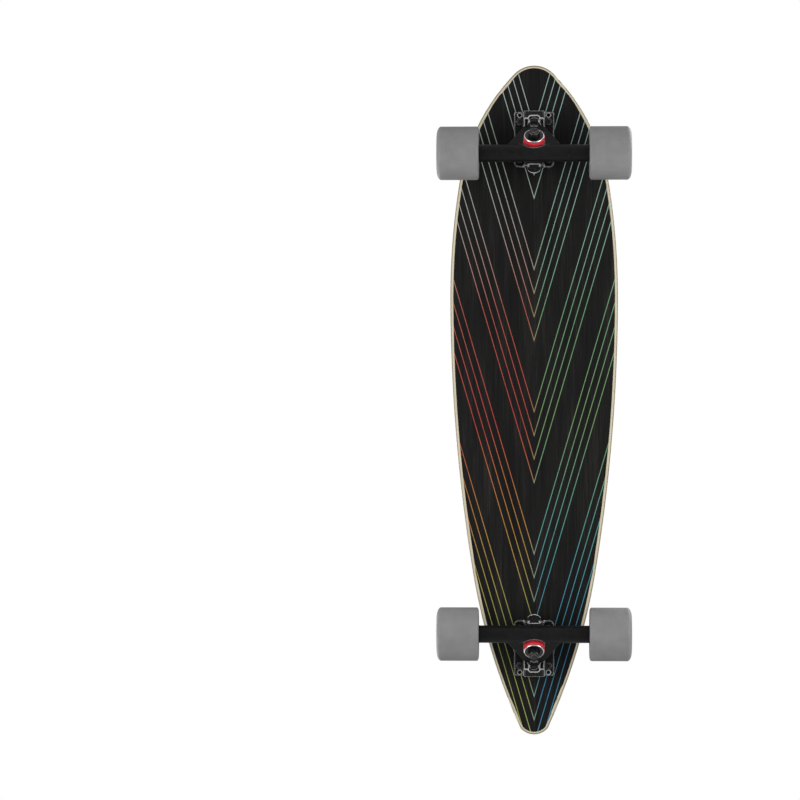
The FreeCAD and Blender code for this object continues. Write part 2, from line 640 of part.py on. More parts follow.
def make_baseplate():
    """Baseplate casting in the truck's frame: bolted plate, kingpin tower and pivot housing."""
    inboard = BASE_START_FROM_AXLE
    outboard = BASE_END_FROM_AXLE
    under = BASE_UNDERSIDE
    half = BASE_WIDTH / 2.0
    plan = mirrored_across(
        [(half, inboard, BASE_INBOARD_CORNER_RADIUS), (half, outboard, BASE_OUTBOARD_CORNER_RADIUS)]
    )
    plate = plan_prism(plan, under, TRUCK_HEIGHT)
    lower_edges = [e for e in plate.Edges if e.BoundBox.ZMax < under + TINY]
    plate = plate.makeFillet(BASE_EDGE_RADIUS, lower_edges)

    tower = box(
        -TOWER_HALF,
        TOWER_HALF,
        KINGPIN_FROM_AXLE - TOWER_SEAT_HALF,
        TOWER_FACE,
        TOWER_SEAT,
        2.0 * TRUCK_HEIGHT,
    )
    housing = box(
        -TOWER_HALF,
        TOWER_HALF,
        HOUSING_MOUTH,
        2.0 * TRUCK_HEIGHT,
        -HOUSING_HALF,
        HOUSING_HALF,
    )
    solids = []
    for block, along in ((tower, Z_AXIS), (housing, Y_AXIS)):
        long_edges = [e for e in block.Edges if abs(e.tangentAt(e.FirstParameter).dot(along)) > PARALLEL]
        rounded = on_steering(block.makeFillet(TOWER_EDGE_RADIUS, long_edges))
        solids.append(rounded)
    room = box(-half, half, inboard, outboard, -TRUCK_HEIGHT, TRUCK_HEIGHT)
    towers = solids[0].fuse(solids[1]).common(room)

    boss = on_steering(cylinder_z(BOSS_RADIUS, TOWER_SEAT, BOSS_END, 0.0, KINGPIN_FROM_AXLE))
    pocket = box(
        -TOWER_HALF + RIB_THICKNESS,
        TOWER_HALF - RIB_THICKNESS,
        KINGPIN_FROM_AXLE - 2.0 * TOWER_SEAT_HALF,
        KINGPIN_FROM_AXLE - TOWER_POCKET_FROM_KINGPIN,
        TOWER_SEAT + RIB_THICKNESS,
        2.0 * TRUCK_HEIGHT,
    )
    keep_under_plate = box(-half, half, -TRUCK_HEIGHT, TRUCK_HEIGHT, -TRUCK_HEIGHT, under)
    towers = towers.cut(on_steering(pocket).common(keep_under_plate))
    casting = plate.fuse([towers, boss, tower_gusset()]).removeSplitter()

    head_room = KINGPIN_HEAD_RADIUS + KINGPIN_CLEARANCE
    cuts = [
        on_steering(cylinder_z(KINGPIN_HOLE_RADIUS, 0.0, BOSS_END, 0.0, KINGPIN_FROM_AXLE)),
        on_steering(cylinder_z(head_room, HEAD_SEAT, BOSS_END + MARGIN, 0.0, KINGPIN_FROM_AXLE)),
        on_steering(pivot_cup_pocket()),
        on_steering(pivot_notch()),
    ]
    for along in (0.0, BOLT_SPACING_ALONG, BOLT_SPACING_ALONG_LONG):
        for side in (-1.0, 1.0):
            x = side * BOLT_SPACING_ACROSS / 2.0
            cuts.append(cylinder_z(BOLT_HOLE_RADIUS, 0.0, 2.0 * TRUCK_HEIGHT, x, FIRST_BOLT_ROW + along))
    return casting.cut(cuts)


def cup_washer(bushing_end_radius):
    """Cup washer lying on the XY plane, its lip standing up round the end of a bushing."""
    bore = KINGPIN_RADIUS + BUSHING_BORE_CLEARANCE
    inner = bushing_end_radius + CUP_WASHER_CLEARANCE
    outer = inner + CUP_WASHER_THICKNESS
    lip_top = CUP_WASHER_THICKNESS + CUP_WASHER_LIP
    return revolved_z(
        [
            (bore, 0.0, 0.0),
            (outer, 0.0, CUP_WASHER_THICKNESS),
            (outer, lip_top, CUP_WASHER_LIP_ROUND),
            (inner, lip_top, 0.0),
            (inner, CUP_WASHER_THICKNESS, 0.0),
            (bore, CUP_WASHER_THICKNESS, 0.0),
        ]
    )


def make_bushing_stack():
    """Kingpin, nut, cup washers and bushings, in the steering frame with the kingpin on Z."""
    bore = KINGPIN_RADIUS + BUSHING_BORE_CLEARANCE
    lip = BUSHING_LIP_RADIUS
    in_washer = CUP_WASHER_LIP + CUP_WASHER_CLEARANCE
    waist_height = (BOARDSIDE_START + BOARDSIDE_END) / 2.0
    bulge_height = ROADSIDE_START + ROADSIDE_BULGE_SHARE * ROADSIDE_BUSHING_HEIGHT
    boardside = revolved_z(
        [
            (bore, BOARDSIDE_START, 0.0),
            (BUSHING_RADIUS, BOARDSIDE_START, lip),
            (BOARDSIDE_WAIST_RADIUS, waist_height, BOARDSIDE_BUSHING_HEIGHT),
            (BOARDSIDE_WASHER_END_RADIUS, BOARDSIDE_END, lip),
            (bore, BOARDSIDE_END, 0.0),
        ]
    )
    roadside = revolved_z(
        [
            (bore, -ROADSIDE_START, 0.0),
            (BUSHING_RADIUS, -ROADSIDE_START, lip),
            (BUSHING_RADIUS, -ROADSIDE_DISH_START, 0.0),
            (ROADSIDE_BULGE_RADIUS, -bulge_height, ROADSIDE_BULGE_ROUND),
            (ROADSIDE_WASHER_END_RADIUS, -ROADSIDE_END + in_washer, 0.0),
            (ROADSIDE_WASHER_END_RADIUS, -ROADSIDE_END, lip),
            (bore, -ROADSIDE_END, 0.0),
        ]
    )
    roadside_washer = moved(cup_washer(ROADSIDE_WASHER_END_RADIUS), z=-ROADSIDE_WASHER_END)
    boardside_washer = moved(turned_over(cup_washer(BOARDSIDE_WASHER_END_RADIUS)), z=TOWER_SEAT)
    shank = cylinder_z(KINGPIN_RADIUS, -KINGPIN_NUT_END - KINGPIN_STICKS_OUT, HEAD_SEAT + OVERLAP)
    head_end = HEAD_SEAT + KINGPIN_HEAD_HEIGHT
    head = cylinder_z(KINGPIN_HEAD_RADIUS, HEAD_SEAT, head_end)
    socket = moved(hex_socket(KINGPIN_SOCKET_ACROSS_FLATS, KINGPIN_SOCKET_DEPTH), z=head_end)
    nut = hex_nut(KINGPIN_NUT_ACROSS_FLATS, KINGPIN_NUT_HEIGHT, KINGPIN_RADIUS + PRESS_CLEARANCE)
    nut = moved(turned_over(nut), z=-ROADSIDE_WASHER_END)
    stack = {
        "boardside_bushing": boardside,
        "roadside_bushing": roadside,
        "roadside_cup_washer": roadside_washer,
        "boardside_cup_washer": boardside_washer,
        "kingpin": shank.fuse(head).cut(socket),
        "kingpin_nut": nut,
    }
    return {name: moved(shape, y=KINGPIN_FROM_AXLE) for name, shape in stack.items()}


def make_axle_set():
    """Axle with its speed washers and lock nuts, centred on X."""
    axle = cylinder_x(AXLE_RADIUS, -AXLE_HALF, AXLE_HALF)
    axle = axle.makeChamfer(AXLE_END_CHAMFER, [edge for edge in axle.Edges if edge.Closed])
    bore = AXLE_RADIUS + AXLE_BORE_CLEARANCE
    washer = tube_x(SPEED_WASHER_RADIUS, bore, 0.0, SPEED_WASHER_THICKNESS)
    nut = turned(hex_nut(AXLE_NUT_ACROSS_FLATS, AXLE_NUT_HEIGHT, bore), Y_AXIS, 90.0)
    washers = []
    nuts = []
    for side in (0.0, 180.0):
        for start in (HANGER_HALF, BEARING_OUTER_FACE):
            washers.append(turned(moved(washer, start), Z_AXIS, side))
        nuts.append(turned(moved(nut, AXLE_NUT_START), Z_AXIS, side))
    return {
        "axle": axle,
        "speed_washers": Part.makeCompound(washers),
        "axle_nuts": Part.makeCompound(nuts),
    }


def make_tyre():
    """Urethane tyre: flat tread, a rounder lip outside (+X), and dished faces that lead in to the core."""
    half = WHEEL_WIDTH / 2.0
    core_half = CORE_WIDTH / 2.0
    ridge_half = CORE_RIDGE_WIDTH / 2.0

    def face(lip_radius):
        return [
            (core_half, CORE_RADIUS, 0.0),
            (half - WHEEL_FACE_DISH, WHEEL_FACE_INNER_RADIUS, WHEEL_FACE_ROUND),
            (half, WHEEL_RADIUS - lip_radius - WHEEL_FACE_LAND, WHEEL_FACE_ROUND),
            (half, WHEEL_RADIUS, lip_radius),
        ]

    outer = face(WHEEL_OUTER_LIP_RADIUS)
    inner = [(-x, radius, rounding) for x, radius, rounding in reversed(face(WHEEL_INNER_LIP_RADIUS))]
    ridge_top = CORE_RADIUS + CORE_RIDGE_HEIGHT
    ridge = [
        (-ridge_half, CORE_RADIUS, 0.0),
        (-ridge_half, ridge_top, 0.0),
        (ridge_half, ridge_top, 0.0),
        (ridge_half, CORE_RADIUS, 0.0),
    ]
    return revolved_x(outer + inner + ridge)


def make_core():
    """Hub core that the tyre is cast on, with a seat for a bearing at each side."""
    core_half = CORE_WIDTH / 2.0
    seat_start = BEARING_SPACING / 2.0
    seat_end = seat_start + BEARING_WIDTH
    ridge_half = CORE_RIDGE_WIDTH / 2.0
    ridge_top = CORE_RADIUS + CORE_RIDGE_HEIGHT
    right = [
        (seat_start, CORE_WEB_BORE_RADIUS, 0.0),
        (seat_start, BEARING_RADIUS, 0.0),
        (seat_end, BEARING_RADIUS, 0.0),
        (core_half, CORE_MOUTH_RADIUS, 0.0),
        (core_half, CORE_RADIUS, 0.0),
        (ridge_half, CORE_RADIUS, 0.0),
        (ridge_half, ridge_top, 0.0),
    ]
    left = [(-x, radius, rounding) for x, radius, rounding in reversed(right)]
    return revolved_x(right + left)


def bearing_rings():
    """Races and shields of one bearing, centred on the origin."""
    half = BEARING_WIDTH / 2.0
    groove = Part.makeTorus(BALL_PITCH_RADIUS, GROOVE_RADIUS, ORIGIN, X_AXIS)
    outer = tube_x(BEARING_RADIUS - PRESS_CLEARANCE, OUTER_RACE_INNER_RADIUS, -half, half).cut(groove)
    inner = tube_x(INNER_RACE_RADIUS, BEARING_BORE_RADIUS, -half, half).cut(groove)
    shield_outer = OUTER_RACE_INNER_RADIUS - PRESS_CLEARANCE
    shield_inner = INNER_RACE_RADIUS + SHIELD_CLEARANCE
    shield = tube_x(shield_outer, shield_inner, half - SHIELD_THICKNESS, half)
    return outer, inner, [shield, turned(shield, Z_AXIS, 180.0)]


def bearing_balls():
    """Balls of one bearing and the crown cage that spaces them, centred on the origin."""
    ball = moved(Part.makeSphere(BALL_RADIUS), z=BALL_PITCH_RADIUS)
    room = moved(Part.makeSphere(GROOVE_RADIUS), z=BALL_PITCH_RADIUS)
    step = 360.0 / BALL_COUNT
    balls = [turned(ball, X_AXIS, step * i) for i in range(BALL_COUNT)]
    rooms = [turned(room, X_AXIS, step * i) for i in range(BALL_COUNT)]
    half_wall = CAGE_THICKNESS / 2.0
    crown = tube_x(
        BALL_PITCH_RADIUS + half_wall,
        BALL_PITCH_RADIUS - half_wall,
        -CAGE_TEETH,
        GROOVE_RADIUS + CAGE_RIM,
    )
    return balls + [crown.cut(rooms)]


def make_wheel():
    """One wheel with its bearings and spacer, centred on the origin, its outer face towards +X."""
    outer, inner, shields = bearing_rings()
    balls = bearing_balls()
    places = (-BEARING_OFFSET, BEARING_OFFSET)
    half_spacer = BEARING_SPACING / 2.0
    spacer = tube_x(SPACER_RADIUS, BEARING_BORE_RADIUS + SPACER_CLEARANCE, -half_spacer, half_spacer)
    return {
        "tyre": make_tyre(),
        "core": make_core(),
        "bearing_outer_races": Part.makeCompound([moved(outer, x) for x in places]),
        "bearing_inner_races": Part.makeCompound([moved(inner, x) for x in places]),
        "bearing_shields": Part.makeCompound([moved(shield, x) for x in places for shield in shields]),
        "bearing_balls": Part.makeCompound([moved(ball, x) for x in places for ball in balls]),
        "bearing_spacer": spacer,
    }


def make_truck():
    """Every piece of one truck, in the truck's frame: the axle at the origin, outboard along Y."""
    pieces = {"baseplate": make_baseplate()}
    tilted = make_bushing_stack()
    tilted["hanger"] = make_hanger()
    tilted["pivot_cup"] = make_pivot_cup()
    for name, shape in tilted.items():
        pieces[name] = on_steering(shape)
    pieces.update(make_axle_set())
    return pieces


def main():
    nodes = make_deck()
    nodes.update(make_deck_bolts())
    truck = make_truck()
    wheel = make_wheel()
    trucks = (("front", 180.0, FRONT_AXLE_Y), ("rear", 0.0, REAR_AXLE_Y))
    for end, degrees, axle_y in trucks:
        for name, shape in truck.items():
            nodes[f"{end}_{name}"] = moved(turned(shape, Z_AXIS, degrees), 0.0, axle_y, AXLE_Z)
        for side, facing in (("left", 0.0), ("right", 180.0)):
            for name, shape in wheel.items():
                placed = turned(moved(shape, WHEEL_CENTRE), Z_AXIS, facing)
                nodes[f"{end}_{side}_{name}"] = moved(placed, 0.0, axle_y, AXLE_Z)
    os.makedirs("parts", exist_ok=True)
    for name, shape in nodes.items():
        shape.exportStep(os.path.join("parts", name + ".step"))
    print(len(nodes), "nodes")


main()
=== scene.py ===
"""Longboard skateboard: finishes, soft bushings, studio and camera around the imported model.

Metres. Y runs along the board with the nose at -Y, X across it with the left side at +X, Z up.
The picture is taken from below, square to the underside, with the nose at the top.
"""

import json
import math
from functools import partial

import bmesh
import bpy
from mathutils import Matrix, Vector


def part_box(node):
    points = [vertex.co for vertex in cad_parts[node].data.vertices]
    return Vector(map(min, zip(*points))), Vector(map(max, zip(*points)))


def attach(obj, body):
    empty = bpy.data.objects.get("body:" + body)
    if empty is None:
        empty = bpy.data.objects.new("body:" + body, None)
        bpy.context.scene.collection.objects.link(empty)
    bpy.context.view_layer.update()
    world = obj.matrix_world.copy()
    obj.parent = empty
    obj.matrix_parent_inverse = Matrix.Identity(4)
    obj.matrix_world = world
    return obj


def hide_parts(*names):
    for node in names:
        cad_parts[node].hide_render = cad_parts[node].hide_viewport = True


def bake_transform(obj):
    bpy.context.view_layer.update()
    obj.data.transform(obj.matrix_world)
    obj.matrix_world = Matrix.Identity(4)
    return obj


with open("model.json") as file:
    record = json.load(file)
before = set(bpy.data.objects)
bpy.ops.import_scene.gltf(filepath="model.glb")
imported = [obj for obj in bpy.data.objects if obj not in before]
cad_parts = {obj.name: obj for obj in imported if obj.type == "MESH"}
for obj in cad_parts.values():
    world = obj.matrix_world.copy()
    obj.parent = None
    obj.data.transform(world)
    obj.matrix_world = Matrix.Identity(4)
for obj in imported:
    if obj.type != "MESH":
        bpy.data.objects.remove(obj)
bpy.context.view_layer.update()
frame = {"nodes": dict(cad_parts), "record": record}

ENDS = ("front", "rear")
SIDES = ("left", "right")
BOTH_WAYS = (-1.0, 1.0)

# Deck section, as the solids have it. The edge shows plies of equal thickness above the veneer.
DECK_BOTTOM = 0.106
DECK_THICKNESS = 0.0115
FLAT_HALF = 0.058
CONCAVE_RADIUS = 0.420
VENEER = 0.0012
PLY_COUNT = 7
PLY = (DECK_THICKNESS - VENEER) / (PLY_COUNT - 1)

# Printed lines: stacked chevrons of fine stripes in groups. Inks are (share of the way to the tail, colour).
CHEVRON_SLOPE = 3.4
CHEVRON_PERIOD = 0.205
CHEVRON_LINES = 4
LINE_SPACING = 0.034
LINE_WIDTH = 0.0010
LINE_EDGE = 0.0010
PRINT_HALF_LENGTH = 0.48
INK_CHANGE_HALF = 0.012
WARM_INKS = [
    (0.05, (0.40, 0.50, 0.46, 1.0)),
    (0.30, (0.42, 0.10, 0.07, 1.0)),
    (0.55, (0.50, 0.06, 0.05, 1.0)),
    (0.78, (0.48, 0.25, 0.06, 1.0)),
    (0.95, (0.36, 0.42, 0.10, 1.0)),
]
COOL_INKS = [
    (0.05, (0.32, 0.50, 0.46, 1.0)),
    (0.30, (0.16, 0.38, 0.20, 1.0)),
    (0.55, (0.20, 0.36, 0.14, 1.0)),
    (0.78, (0.10, 0.36, 0.32, 1.0)),
    (0.95, (0.06, 0.26, 0.42, 1.0)),
]

# Kingpin and bushings. Distances run along the kingpin from the yoke's middle. A bushing's flank goes
# from the yoke to the washer as (radius, distance), and the roadside one is straighter than its solid.
STEER_ANGLE = 45.0
KINGPIN_FROM_AXLE = 0.0195
KINGPIN_RADIUS = 0.0047
KINGPIN_NUT_END = 0.0246
KINGPIN_TIP = 0.0261
KINGPIN_INSERT_RADIUS = 0.0060
BUSHING_BORE = 0.00485
BUSHING_RADIUS = 0.0146
BUSHING_SEAT = 0.0031
BUSHING_ROUNDING = 0.0008
BOARDSIDE_END = 0.0171
BOARDSIDE_FLANK = [
    (BUSHING_RADIUS, 0.0053),
    (0.0135, 0.0078),
    (0.0132, 0.0101),
    (0.0134, 0.0124),
    (0.0140, 0.0147),
]
ROADSIDE_END = 0.0151
ROADSIDE_FLANK = [
    (BUSHING_RADIUS, 0.0046),
    (0.0150, 0.0060),
    (0.0151, 0.0090),
    (0.0150, 0.0122),
    (0.0147, 0.0142),
    (0.0133, 0.0144),
]
TO_BOARD = 1.0
TO_ROAD = -1.0

# Roadside cup washer, with distances as above: a dished face, a rolled rim and a shorter lip than its solid.
WASHER_BOTTOM = 0.0166
WASHER_LIP = 0.0146
WASHER_RADIUS = 0.0145
WASHER_INNER_RADIUS = 0.0135
WASHER_DISH_RADIUS = 0.0128
WASHER_DISH_DEEP = 0.0002
WASHER_RIM_RADIUS = 0.0132
WASHER_ROLL_ACROSS = 0.0007
WASHER_ROLL_UP = 0.0009
WASHER_ROUNDING = 0.0004
WASHER_FACE_RADIUS = 0.0131
WASHER_FACE_DEEP = 0.0004

# Truck bolts and axle ends, as the solids have them. Bolt rows run from the axle outwards along the board.
BOLT_RADIUS = 0.0024
BOLT_ACROSS = 0.02065
BOLT_ROWS = (-0.0045, 0.0495)
BOLT_NUT_END = 0.0935
BOLT_TIP = 0.0910
BOLT_INSERT_RADIUS = 0.0037
AXLE_RADIUS = 0.00397
AXLE_NUT_END = 0.1295
AXLE_INSERT_RADIUS = 0.0053
INSERT_PROUD = 0.0004
INSERT_SUNK = 0.0003
INSERT_ROUNDING = 0.00015
THREAD_DEPTH = 0.00014
THREAD_PITCH = 0.0007
THREAD_CLEARANCE = 0.00001
THREAD_SUNK = 0.0002

# Tyres, in the solids' box, with softer lips. Heights run along the axle, outwards from the wheel's middle.
TYRE_RADIUS = 0.038
TYRE_HALF_WIDTH = 0.030
TYRE_BORE = 0.019
TYRE_BORE_HALF = 0.015
OUTER_LIP_ACROSS = 0.0065
OUTER_LIP_DEEP = 0.0130
INNER_LIP_ACROSS = 0.0030
INNER_LIP_DEEP = 0.0060
LIP_STEPS = 12
BRIM_ROUNDING = 0.0008

# Fineness of the meshes.
SPIN_STEPS = 72
BEVEL_SEGMENTS = 3
SHARP_ANGLE = 40.0
SAME = 1e-7

# Picture: where the board stands in the 800 pixel frame and how large it is there.
IMAGE_SIZE = 800.0
BOARD_X = 534.1
BOARD_PIXELS_PER_METRE = 669.0 / 0.965
CAMERA_BELOW_DECK = 5.0
CAMERA_REACH = 100.0
SENSOR = 36.0

# Studio: the point that the lamps shine at, and how far the floor goes each way.
LIGHT_TARGET = (0.0, 0.0, 0.09)
FLOOR_HALF = 40.0

# Half turn that makes the end of a nut face the road.
UPSIDE_DOWN = Matrix.Rotation(math.pi, 4, "X")


def add_node(tree, kind, **settings):
    """A new shader node with its properties set."""
    made = tree.nodes.new(kind)
    for name, value in settings.items():
        setattr(made, name, value)
    return made


def feed(tree, source, socket):
    """Joins an output to an input, or sets the input where the source is a plain value."""
    if isinstance(source, bpy.types.NodeSocket):
        tree.links.new(source, socket)
    else:
        socket.default_value = source


def calc(tree, operation, *values):
    """Result of one step of arithmetic on outputs or plain values."""
    made = add_node(tree, "ShaderNodeMath", operation=operation)
    for value, socket in zip(values, made.inputs):
        feed(tree, value, socket)
    return made.outputs[0]


def object_place(tree):
    return add_node(tree, "ShaderNodeTexCoord").outputs["Object"]


def split(tree, vector):
    """The three parts of a vector, or of a colour."""
    parts = add_node(tree, "ShaderNodeSeparateXYZ")
    feed(tree, vector, parts.inputs[0])
    return parts.outputs


def stretched(tree, scale):
    """Object coordinates, scaled along each axis."""
    made = add_node(tree, "ShaderNodeMapping")
    feed(tree, object_place(tree), made.inputs["Vector"])
    made.inputs["Scale"].default_value = scale
    return made.outputs[0]


def noise(tree, where, scale, detail=3.0, roughness=0.5):
    """Soft random pattern."""
    made = add_node(tree, "ShaderNodeTexNoise")
    feed(tree, where, made.inputs["Vector"])
    made.inputs["Scale"].default_value = scale
    made.inputs["Detail"].default_value = detail
    made.inputs["Roughness"].default_value = roughness
    return made.outputs[0]


def cells(tree, where, scale):
    """Pattern of random cells, as its outputs for distance and colour."""
    made = add_node(tree, "ShaderNodeTexVoronoi", feature="F1")
    feed(tree, where, made.inputs["Vector"])
    made.inputs["Scale"].default_value = scale
    return made.outputs


def rise(tree, value, low, high, to_low=0.0, to_high=1.0):
    """Smooth step of a value from low to high."""
    made = add_node(tree, "ShaderNodeMapRange", interpolation_type="SMOOTHSTEP")
    feed(tree, value, made.inputs["Value"])
    made.inputs["From Min"].default_value = low
    made.inputs["From Max"].default_value = high
    made.inputs["To Min"].default_value = to_low
    made.inputs["To Max"].default_value = to_high
    return made.outputs[0]


def mixed(tree, share, first, second):
    """Colour between two others. A Mix node's colour sockets are its inputs 6 and 7 and its output 2."""
    made = add_node(tree, "ShaderNodeMix", data_type="RGBA")
    feed(tree, share, made.inputs[0])
    feed(tree, first, made.inputs[6])
    feed(tree, second, made.inputs[7])
    return made.outputs[2]


def colours_along(tree, value, stops):
    """Colour ramp with stops (position, colour)."""
    made = add_node(tree, "ShaderNodeValToRGB")
    feed(tree, value, made.inputs[0])
    elements = made.color_ramp.elements
    while len(elements) < len(stops):
        elements.new(1.0)
    for element, (position, colour) in zip(elements, stops):
        element.position = position
        element.color = colour
    return made.outputs[0]


def bumped(tree, height, strength, distance):
    """Surface direction over a pattern of heights."""
    made = add_node(tree, "ShaderNodeBump")
    made.inputs["Strength"].default_value = strength
    made.inputs["Distance"].default_value = distance
    feed(tree, height, made.inputs["Height"])
    return made.outputs[0]


def new_finish(name, **constants):
    """Material with one surface shader whose constant sockets are set."""
    material = bpy.data.materials.new(name)
    material.use_nodes = True
    tree = material.node_tree
    shader = tree.nodes["Principled BSDF"]
    for socket, value in constants.items():
        shader.inputs[socket.replace("_", " ")].default_value = value
    return material, tree, shader


def grey(value):
    return (value, value, value, 1.0)


def add_piece(name, shape, finishes):
    """Turns a finished bmesh into an object that stands at the origin, smooth but for its sharp edges."""
    mesh = bpy.data.meshes.new(name)
    for face in shape.faces:
        face.smooth = True
    shape.to_mesh(mesh)
    shape.free()
    mesh.set_sharp_from_angle(angle=math.radians(SHARP_ANGLE))
    for finish in finishes:
        mesh.materials.append(finish)
    piece = bpy.data.objects.new(name, mesh)
    bpy.context.scene.collection.objects.link(piece)
    return piece


def spun(outline, rounding):
    """Ring round the Z axis from a closed outline of (radius, height), its ring edges rounded off."""
    shape = bmesh.new()
    corners = [shape.verts.new((radius, 0.0, height)) for radius, height in outline]
    sides = [shape.edges.new((corners[i - 1], corners[i])) for i in range(len(corners))]
    bmesh.ops.spin(
        shape,
        geom=corners + sides,
        cent=(0.0, 0.0, 0.0),
        axis=(0.0, 0.0, 1.0),
        angle=math.tau,
        steps=SPIN_STEPS,
        use_merge=True,
    )
    bmesh.ops.remove_doubles(shape, verts=shape.verts[:], dist=SAME)
    bmesh.ops.recalc_face_normals(shape, faces=shape.faces[:])
    if rounding > 0.0:
        rings = [edge for edge in shape.edges if on_ring(edge, edge.verts[0].co.xy.length)]
        rounded(shape, rings, rounding)
    return shape


def on_ring(edge, radius):
    """Whether an edge of a spun shape runs round the axis at that radius."""
    first, second = (vert.co for vert in edge.verts)
    level = abs(first.z - second.z) < SAME
    return level and abs(first.xy.length - radius) < SAME and abs(second.xy.length - radius) < SAME


def rounded(shape, edges, rounding):
    bmesh.ops.bevel(
        shape,
        geom=edges,
        offset=rounding,
        offset_type="OFFSET",
        segments=BEVEL_SEGMENTS,
        profile=0.5,
        affect="EDGES",
        clamp_overlap=True,
        material=-1,
    )


def axle_centre(end):
    low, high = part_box(f"{end}_axle")
    return (low + high) / 2.0


def kingpin_place(end):
    """From a frame with the kingpin on Z, z = 0 in the yoke's middle, to that truck's place on the board."""
    facing = Matrix.Rotation(math.pi if end == "front" else 0.0, 4, "Z")
    tilt = Matrix.Rotation(math.radians(STEER_ANGLE), 4, "X")
    aside = Matrix.Translation((0.0, KINGPIN_FROM_AXLE, 0.0))
    return Matrix.Translation(axle_centre(end)) @ facing @ tilt @ aside


def set_in_truck(shape, end):
    bmesh.ops.transform(shape, matrix=kingpin_place(end), verts=shape.verts[:])


def bushing_outline(flank, washer_end, direction):
    """Closed outline of a bushing, from its seat in the yoke to its cup washer."""
    end_radius, _ = flank[-1]
    outline = [(BUSHING_BORE, BUSHING_SEAT), (BUSHING_RADIUS, BUSHING_SEAT)]
    outline += flank
    outline += [(end_radius, washer_end), (BUSHING_BORE, washer_end)]
    return [(radius, direction * distance) for radius, distance in outline]


def add_bushing(end, where, flank, washer_end, direction, finish):
    """Soft bushing in its solid's place."""
    shape = spun(bushing_outline(flank, washer_end, direction), BUSHING_ROUNDING)
    set_in_truck(shape, end)
    piece = add_piece(f"{end}_{where}_soft_bushing", shape, [finish])
    rounder = piece.modifiers.new("rounder", "SUBSURF")
    rounder.levels = 1
    rounder.render_levels = 1
    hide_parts(f"{end}_{where}_bushing")
    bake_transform(piece)


def add_roadside_washer(end, rim_finish, painted_dark_face_finish):
    """Pressed cup washer: a dark dished face inside a bright rolled rim. The dark of the face is a painted
    dark reflection on polished steel.
    """
    dish = -WASHER_BOTTOM + WASHER_DISH_DEEP
    outline = [
        (BUSHING_BORE, dish),
        (WASHER_DISH_RADIUS, dish),
        (WASHER_RIM_RADIUS, -WASHER_BOTTOM),
        (WASHER_RADIUS - WASHER_ROLL_ACROSS, -WASHER_BOTTOM),
        (WASHER_RADIUS, -WASHER_BOTTOM + WASHER_ROLL_UP),
        (WASHER_RADIUS, -WASHER_LIP),
        (WASHER_INNER_RADIUS, -WASHER_LIP),
        (WASHER_INNER_RADIUS, -ROADSIDE_END),
        (BUSHING_BORE, -ROADSIDE_END),
    ]
    shape = spun(outline, WASHER_ROUNDING)
    # The dished face takes the second, dark finish as a painted dark reflection.
    for face in shape.faces:
        middle = face.calc_center_median()
        if middle.xy.length < WASHER_FACE_RADIUS and middle.z < -WASHER_BOTTOM + WASHER_FACE_DEEP:
            face.material_index = 1
    set_in_truck(shape, end)
    piece = add_piece(f"{end}_roadside_rolled_washer", shape, [rim_finish, painted_dark_face_finish])
    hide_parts(f"{end}_roadside_cup_washer")
    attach(piece, "deck")


def lip(across, deep):
    """Quarter ellipse from a tyre's face to its tread, as points (radius, height)."""
    points = []
    for step in range(LIP_STEPS + 1):
        turn = step / LIP_STEPS * math.pi / 2.0
        radius = TYRE_RADIUS - deep * (1.0 - math.sin(turn))
        points.append((radius, TYRE_HALF_WIDTH - across * (1.0 - math.cos(turn))))
    return points


def add_tyre(end, side, finish):
    """Cast tyre with a round outer lip, a tight inner one, and faces that lead down to the hub."""
    outer = [(TYRE_BORE, TYRE_BORE_HALF)] + lip(OUTER_LIP_ACROSS, OUTER_LIP_DEEP)
    inner = [(TYRE_BORE, TYRE_BORE_HALF)] + lip(INNER_LIP_ACROSS, INNER_LIP_DEEP)
    outline = outer + [(radius, -height) for radius, height in reversed(inner)]
    shape = spun(outline, 0.0)
    brims = []
    for deep in (OUTER_LIP_DEEP, INNER_LIP_DEEP):
        brims += [edge for edge in shape.edges if on_ring(edge, TYRE_RADIUS - deep)]
    rounded(shape, brims, BRIM_ROUNDING)
    node = f"{end}_{side}_tyre"
    low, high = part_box(node)
    facing = Matrix.Rotation(math.pi / 2.0 if side == "left" else -math.pi / 2.0, 4, "Y")
    place = Matrix.Translation((low + high) / 2.0) @ facing
    bmesh.ops.transform(shape, matrix=place, verts=shape.verts[:])
    piece = add_piece(f"{end}_{side}_cast_tyre", shape, [finish])
    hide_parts(node)
    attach(piece, f"{end}_{side}_wheel")


def lock_insert(bore, radius):
    """Nylon ring that stands a little proud of a lock nut whose end is at z = 0."""
    outline = [(bore, -INSERT_SUNK), (radius, -INSERT_SUNK), (radius, INSERT_PROUD), (bore, INSERT_PROUD)]
    return spun(outline, INSERT_ROUNDING)


def thread(radius, length):
    """Thread ridges round the end of a shank, from z = 0 up to its tip."""
    core = radius + THREAD_CLEARANCE
    inside = radius - THREAD_SUNK
    turns = max(1, round(length / THREAD_PITCH))
    pitch = length / turns
    outline = [(inside, length), (inside, 0.0)]
    for turn in range(turns):
        outline.append((core, turn * pitch))
        outline.append((core + THREAD_DEPTH, (turn + 0.5) * pitch))
    outline.append((core, length))
    return spun(outline, 0.0)


def bolt_nut_places(end):
    """From a frame with a nut's end at z = 0 to each of a truck's four bolt nuts, facing the road."""
    axle = axle_centre(end)
    outward = -1.0 if end == "front" else 1.0
    places = []
    for row in BOLT_ROWS:
        for side in BOTH_WAYS:
            spot = (side * BOLT_ACROSS, axle.y + outward * row, BOLT_NUT_END)
            places.append(Matrix.Translation(spot) @ UPSIDE_DOWN)
    return places


def kingpin_nut_place(end):
    """The same for a truck's kingpin nut."""
    return kingpin_place(end) @ Matrix.Translation((0.0, 0.0, -KINGPIN_NUT_END)) @ UPSIDE_DOWN


